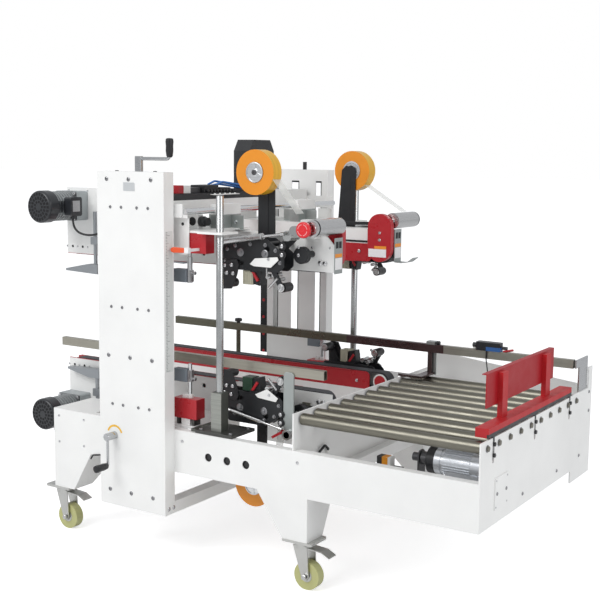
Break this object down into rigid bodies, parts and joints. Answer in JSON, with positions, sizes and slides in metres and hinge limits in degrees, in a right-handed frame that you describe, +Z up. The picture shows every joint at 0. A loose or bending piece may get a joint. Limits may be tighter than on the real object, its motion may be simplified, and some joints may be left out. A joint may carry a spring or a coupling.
{
  "type": "carton edge sealer",
  "caption": "Floor-standing carton edge sealer with a slotted gate, a lifting head, paired side belt units with tape heads and a roller outfeed table on castors.",
  "frame": {"origin": "centre of the footprint on the floor, the castor wheels' lowest line", "axes": "+X along the carton travel to the outfeed fence, +Y across to the rear column, +Z up"},
  "size_m": [1.8443, 1.17, 1.43],
  "materials": {
    "white_paint": "satin",
    "red_paint": "satin",
    "black_paint": "satin",
    "steel": "brushed",
    "chrome": "polished",
    "belt": "matt",
    "tape": "glossy film",
    "motor_grey": "satin",
    "castor_tyre": "cast polyurethane",
    "blue_plastic": "glossy"
  },
  "bodies": {
    "frame": {"gate_columns": "white_paint", "base_frame": "white_paint", "cross_ties": "white_paint", "base_legs": "white_paint", "end_panel": "white_paint", "table_plate": "white_paint", "rear_panel": "white_paint", "access_cover": "white_paint", "table_motor": "motor_grey", "table_rollers": "steel", "lower_shafts": "chrome", "castor_plates": "steel", "rail_bracket": "steel"},
    "head": {"cross_beam": "white_paint", "head_carriages": "steel", "upper_shafts": "steel"},
    "height_crank": {"height_crank": "chrome"},
    "rear_screw": {"rear_lift_screw": "steel"},
    "width_crank": {"width_crank": "chrome"},
    "lower_front": {"lower_front_housing": "white_paint", "lower_front_belt": "belt", "lower_front_motor": "motor_grey", "lower_front_tape_head": "black_paint", "lower_front_sledge": "white_paint", "front_rail": "steel"},
    "lower_rear": {"lower_rear_housing": "white_paint", "lower_rear_belt": "belt", "lower_rear_motor": "motor_grey", "lower_rear_tape_head": "black_paint", "lower_rear_sledge": "white_paint", "rear_rail": "steel", "valve_unit": "blue_plastic"},
    "upper_front": {"upper_front_housing": "white_paint", "upper_front_belt": "belt", "upper_front_motor": "motor_grey", "upper_front_tape_head": "black_paint", "upper_front_hanger": "white_paint", "upper_front_guide_roller": "steel", "stop_button": "red_paint", "motor_cable": "belt"},
    "upper_rear": {"upper_rear_housing": "white_paint", "upper_rear_belt": "belt", "upper_rear_motor": "motor_grey", "upper_rear_tape_head": "black_paint", "upper_rear_hanger": "white_paint", "upper_rear_guide_roller": "steel"},
    "fence": {"fence_frame": "red_paint", "fence_plate": "red_paint"},
    "lower_front_roll": {"lower_front_roll": "tape"},
    "lower_rear_roll": {"lower_rear_roll": "tape"},
    "upper_front_roll": {"upper_front_roll": "tape"},
    "upper_rear_roll": {"upper_rear_roll": "tape"},
    "front_infeed_fork": {"front_infeed_fork": "steel"},
    "front_infeed_wheel": {"front_infeed_wheel": "castor_tyre"},
    "front_table_fork": {"front_table_fork": "steel"},
    "front_table_wheel": {"front_table_wheel": "castor_tyre"},
    "rear_infeed_fork": {"rear_infeed_fork": "steel"},
    "rear_infeed_wheel": {"rear_infeed_wheel": "castor_tyre"},
    "rear_table_fork": {"rear_table_fork": "steel"},
    "rear_table_wheel": {"rear_table_wheel": "castor_tyre"}
  },
  "joints": [
    {"name": "head_lift", "type": "slide", "parent": "frame", "child": "head", "axis": [0, 0, 1], "range_m": [-0.24, 0.05]},
    {"name": "height_crank_turn", "type": "hinge", "parent": "frame", "child": "height_crank", "pos_m": [-0.317, -0.46, 1.3], "axis": [0, 0, -1], "continuous": true},
    {"name": "rear_screw_turn", "type": "hinge", "parent": "frame", "child": "rear_screw", "pos_m": [-0.317, 0.56, 1], "axis": [0, 0, -1], "continuous": true},
    {"name": "lower_front_slide", "type": "slide", "parent": "frame", "child": "lower_front", "axis": [0, 1, 0], "range_m": [-0.02, 0.12]},
    {"name": "lower_rear_slide", "type": "slide", "parent": "frame", "child": "lower_rear", "axis": [0, -1, 0], "range_m": [-0.02, 0.12]},
    {"name": "upper_front_slide", "type": "slide", "parent": "head", "child": "upper_front", "axis": [0, 1, 0], "range_m": [-0.02, 0.12]},
    {"name": "upper_rear_slide", "type": "slide", "parent": "head", "child": "upper_rear", "axis": [0, -1, 0], "range_m": [-0.02, 0.12]},
    {"name": "width_crank_turn", "type": "hinge", "parent": "frame", "child": "width_crank", "pos_m": [-0.414, -0.46, 0.415], "axis": [0, -1, 0], "continuous": true},
    {"name": "fence_slide", "type": "slide", "parent": "frame", "child": "fence", "axis": [0, 0, 1], "range_m": [0, 0.015]},
    {"name": "lower_front_roll_spin", "type": "hinge", "parent": "lower_front", "child": "lower_front_roll", "pos_m": [0.03, -0.266, 0.265], "axis": [0, 1, 0], "continuous": true},
    {"name": "lower_rear_roll_spin", "type": "hinge", "parent": "lower_rear", "child": "lower_rear_roll", "pos_m": [0.03, 0.366, 0.265], "axis": [0, 1, 0], "continuous": true},
    {"name": "upper_front_roll_spin", "type": "hinge", "parent": "upper_front", "child": "upper_front_roll", "pos_m": [0.03, -0.266, 1.318], "axis": [0, 1, 0], "continuous": true},
    {"name": "upper_rear_roll_spin", "type": "hinge", "parent": "upper_rear", "child": "upper_rear_roll", "pos_m": [0.03, 0.366, 1.318], "axis": [0, 1, 0], "continuous": true},
    {"name": "front_infeed_swivel", "type": "hinge", "parent": "frame", "child": "front_infeed_fork", "pos_m": [-0.742, -0.39, 0.15], "axis": [0, 0, 1], "continuous": true},
    {"name": "front_infeed_roll", "type": "hinge", "parent": "front_infeed_fork", "child": "front_infeed_wheel", "pos_m": [-0.722, -0.39, 0.046], "axis": [0, 1, 0], "continuous": true},
    {"name": "front_table_swivel", "type": "hinge", "parent": "frame", "child": "front_table_fork", "pos_m": [0.3, -0.39, 0.15], "axis": [0, 0, 1], "continuous": true},
    {"name": "front_table_roll", "type": "hinge", "parent": "front_table_fork", "child": "front_table_wheel", "pos_m": [0.32, -0.39, 0.046], "axis": [0, 1, 0], "continuous": true},
    {"name": "rear_infeed_swivel", "type": "hinge", "parent": "frame", "child": "rear_infeed_fork", "pos_m": [-0.742, 0.49, 0.15], "axis": [0, 0, 1], "continuous": true},
    {"name": "rear_infeed_roll", "type": "hinge", "parent": "rear_infeed_fork", "child": "rear_infeed_wheel", "pos_m": [-0.722, 0.49, 0.046], "axis": [0, 1, 0], "continuous": true},
    {"name": "rear_table_swivel", "type": "hinge", "parent": "frame", "child": "rear_table_fork", "pos_m": [0.3, 0.49, 0.15], "axis": [0, 0, 1], "continuous": true},
    {"name": "rear_table_roll", "type": "hinge", "parent": "rear_table_fork", "child": "rear_table_wheel", "pos_m": [0.32, 0.49, 0.046], "axis": [0, 1, 0], "continuous": true}
  ],
  "couplings": [
    {"joint": "height_crank_turn", "follows": "head_lift", "rad_per_m": 628.32},
    {"joint": "rear_screw_turn", "follows": "head_lift", "rad_per_m": 628.32},
    {"joint": "width_crank_turn", "follows": "lower_front_slide", "rad_per_m": 628.32},
    {"joint": "lower_rear_slide", "follows": "lower_front_slide", "ratio": 1},
    {"joint": "upper_front_slide", "follows": "lower_front_slide", "ratio": 1},
    {"joint": "upper_rear_slide", "follows": "lower_front_slide", "ratio": 1}
  ]
}
